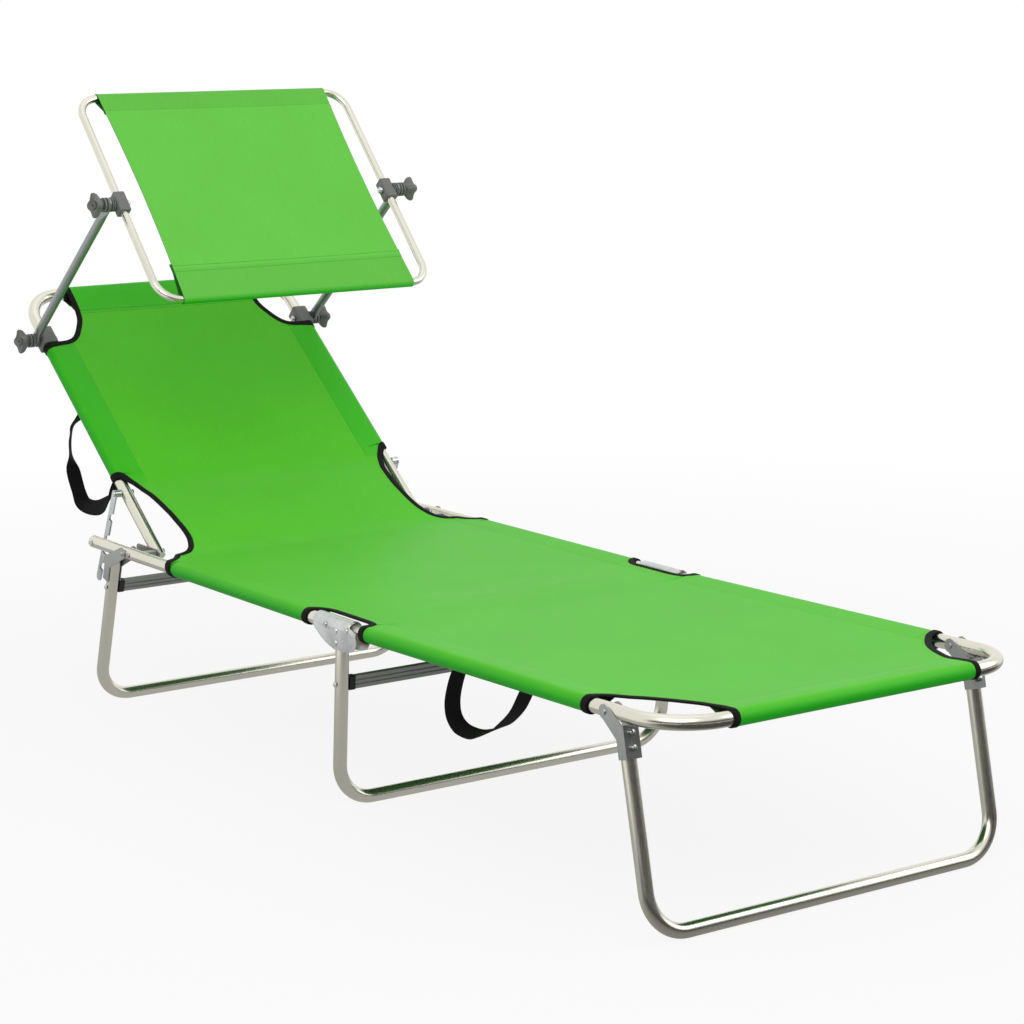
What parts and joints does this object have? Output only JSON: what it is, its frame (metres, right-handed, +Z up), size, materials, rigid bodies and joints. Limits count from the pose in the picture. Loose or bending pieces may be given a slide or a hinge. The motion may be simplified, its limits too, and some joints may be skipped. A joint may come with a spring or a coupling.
{
  "type": "sun lounger with canopy",
  "caption": "Folding sun lounger with tube frame, stretched cloth, reclining back, folding legs and a tilting canopy on clamped arms.",
  "frame": {"origin": "on the floor, below the centre of the box round the whole part with its back reclined as stored", "axes": "+Z up, +Y along the lounger towards the head, -Y towards the foot, -X the side that carries the straps"},
  "size_m": [0.5872, 1.7678, 0.9445],
  "materials": {
    "tube": "satin warm silver over steel tube",
    "zinc": "zinc-plated pressed steel",
    "spreader": "satin dark grey",
    "black": "matte black",
    "grey": "matte mid grey",
    "seat": "woven, bright green",
    "cloth": "woven, bright green",
    "webbing": "black webbing"
  },
  "bodies": {
    "seat_frame": {"seat_rail_right": "tube", "seat_rail_left": "tube", "rail_end_plug_right": "grey", "rail_end_plug_left": "grey", "back_pivot_bracket_right": "zinc", "back_pivot_bracket_left": "zinc", "ratchet_pin_right": "zinc", "ratchet_pin_left": "zinc", "seat_cloth": "seat", "bend_cloth": "cloth"},
    "mid_stand": {"mid_cloth": "seat", "mid_hinge_bracket_right": "zinc", "mid_hinge_bracket_left": "zinc", "mid_leg": "tube", "mid_spreader": "spreader", "mid_spreader_cap_right": "black", "mid_spreader_cap_left": "black", "mid_spreader_screw_right": "zinc", "mid_spreader_screw_left": "zinc"},
    "foot_section": {"foot_frame": "tube", "foot_cloth": "seat", "foot_strap": "webbing"},
    "front_leg": {"front_leg": "tube", "front_bracket_right": "zinc", "front_bracket_left": "zinc", "front_bolt_upper_right": "zinc", "front_bolt_upper_left": "zinc", "front_bolt_lower_right": "zinc", "front_bolt_lower_left": "zinc"},
    "rear_leg": {"rear_leg": "tube", "rear_bracket_right": "zinc", "rear_bracket_left": "zinc", "rear_spreader": "spreader", "rear_spreader_cap_right": "black", "rear_spreader_cap_left": "black", "rear_spreader_screw_right": "zinc", "rear_spreader_screw_left": "zinc"},
    "back_frame": {"back_frame": "tube", "back_cloth": "cloth", "head_strap": "webbing", "ratchet_pivot_right": "zinc", "ratchet_pivot_left": "zinc", "lower_clamp_right": "grey", "lower_clamp_left": "grey", "lower_clamp_bolt_right": "zinc", "lower_clamp_bolt_left": "zinc"},
    "ratchet_bars": {"ratchet_bar_right": "zinc", "ratchet_bar_left": "zinc"},
    "canopy_arms": {"arm_right": "tube", "arm_left": "tube"},
    "canopy": {"canopy_ring": "tube", "canopy_cloth": "cloth", "upper_clamp_right": "grey", "upper_clamp_left": "grey", "upper_clamp_bolt_right": "zinc", "upper_clamp_bolt_left": "zinc"},
    "lower_knob_right": {"lower_knob_right": "grey"},
    "lower_knob_left": {"lower_knob_left": "grey"},
    "upper_knob_right": {"upper_knob_right": "grey"},
    "upper_knob_left": {"upper_knob_left": "grey"}
  },
  "joints": [
    {"name": "back_recline", "type": "hinge", "parent": "seat_frame", "child": "back_frame", "pos_m": [0, 0.43753, 0.2588], "axis": [1, 0, 0], "range_deg": [-39, 27], "deforming": ["bend_cloth"]},
    {"name": "ratchet_swing", "type": "hinge", "parent": "back_frame", "child": "ratchet_bars", "pos_m": [0, 0.53358, 0.33658], "axis": [1, 0, 0], "range_deg": [-15, 21]},
    {"name": "mid_fold", "type": "hinge", "parent": "seat_frame", "child": "mid_stand", "pos_m": [0, -0.13467, 0.2588], "axis": [1, 0, 0], "range_deg": [0, 70]},
    {"name": "foot_fold", "type": "hinge", "parent": "mid_stand", "child": "foot_section", "pos_m": [0, -0.18797, 0.2588], "axis": [1, 0, 0], "range_deg": [0, 70]},
    {"name": "front_leg_fold", "type": "hinge", "parent": "foot_section", "child": "front_leg", "pos_m": [0, -0.75548, 0.26899], "axis": [1, 0, 0], "range_deg": [0, 100], "deforming": ["foot_strap"]},
    {"name": "rear_leg_fold", "type": "hinge", "parent": "seat_frame", "child": "rear_leg", "pos_m": [0, 0.45623, 0.2588], "axis": [-1, 0, 0], "range_deg": [0, 104]},
    {"name": "arm_swing", "type": "hinge", "parent": "back_frame", "child": "canopy_arms", "pos_m": [0, 0.79657, 0.54955], "axis": [1, 0, 0], "range_deg": [-90, 35]},
    {"name": "canopy_tilt", "type": "hinge", "parent": "canopy_arms", "child": "canopy", "pos_m": [0, 0.52323, 0.78382], "axis": [1, 0, 0], "range_deg": [-90, 90]},
    {"name": "lower_knob_right_turn", "type": "hinge", "parent": "back_frame", "child": "lower_knob_right", "pos_m": [0.275, 0.79657, 0.54955], "axis": [1, 0, 0], "continuous": true},
    {"name": "upper_knob_right_turn", "type": "hinge", "parent": "canopy", "child": "upper_knob_right", "pos_m": [0.275, 0.52323, 0.78382], "axis": [1, 0, 0], "continuous": true},
    {"name": "lower_knob_left_turn", "type": "hinge", "parent": "back_frame", "child": "lower_knob_left", "pos_m": [-0.275, 0.79657, 0.54955], "axis": [1, 0, 0], "continuous": true},
    {"name": "upper_knob_left_turn", "type": "hinge", "parent": "canopy", "child": "upper_knob_left", "pos_m": [-0.275, 0.52323, 0.78382], "axis": [1, 0, 0], "continuous": true}
  ],
  "couplings": [
    {"joint": "ratchet_swing", "follows": "back_recline", "ratio": -0.53},
    {"joint": "foot_fold", "follows": "mid_fold", "ratio": 1}
  ]
}
